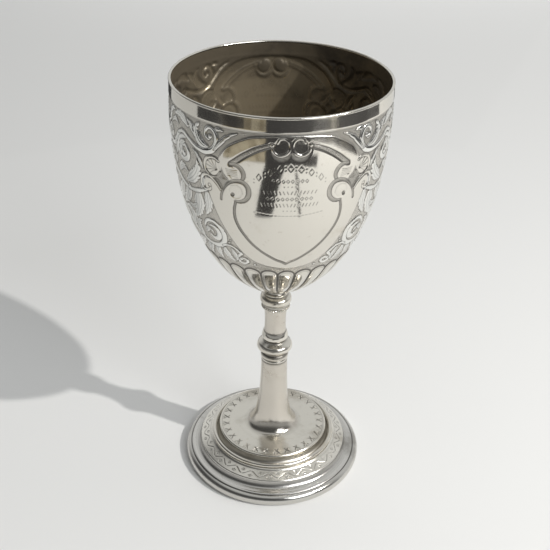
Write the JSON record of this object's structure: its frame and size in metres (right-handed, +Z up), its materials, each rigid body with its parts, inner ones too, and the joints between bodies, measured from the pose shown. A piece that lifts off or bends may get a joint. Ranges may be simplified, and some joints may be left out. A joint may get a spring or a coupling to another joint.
{
  "type": "trophy goblet",
  "caption": "Trophy goblet with a deep chased bowl, gadrooned base, turned knopped stem and stepped round foot, held together by a tie rod.",
  "frame": {"origin": "centre of the ring that the foot stands on, on its resting face", "axes": "+Z up along the goblet's axis, -Y the front, the side that the shield-shaped panel faces"},
  "size_m": [0.0906, 0.0906, 0.1941],
  "materials": {
    "silver_plate": "polished silver plate on brass, slightly tarnished",
    "brass": "turned, unpolished"
  },
  "bodies": {
    "root": {"bowl": "silver_plate", "lip_wire": "silver_plate", "bowl_collar": "silver_plate", "upper_knop": "silver_plate", "bead_ring": "silver_plate", "stem_barrel": "silver_plate", "knop_top_ring": "silver_plate", "knop_main_ring": "silver_plate", "knop_lower_ring": "silver_plate", "trumpet_stem": "silver_plate", "foot_dome": "silver_plate", "foot_moulding": "silver_plate", "foot_flange": "silver_plate", "foot_rim": "silver_plate", "tie_rod": "brass", "cup_washer": "brass", "rod_nut": "brass"}
  },
  "joints": []
}
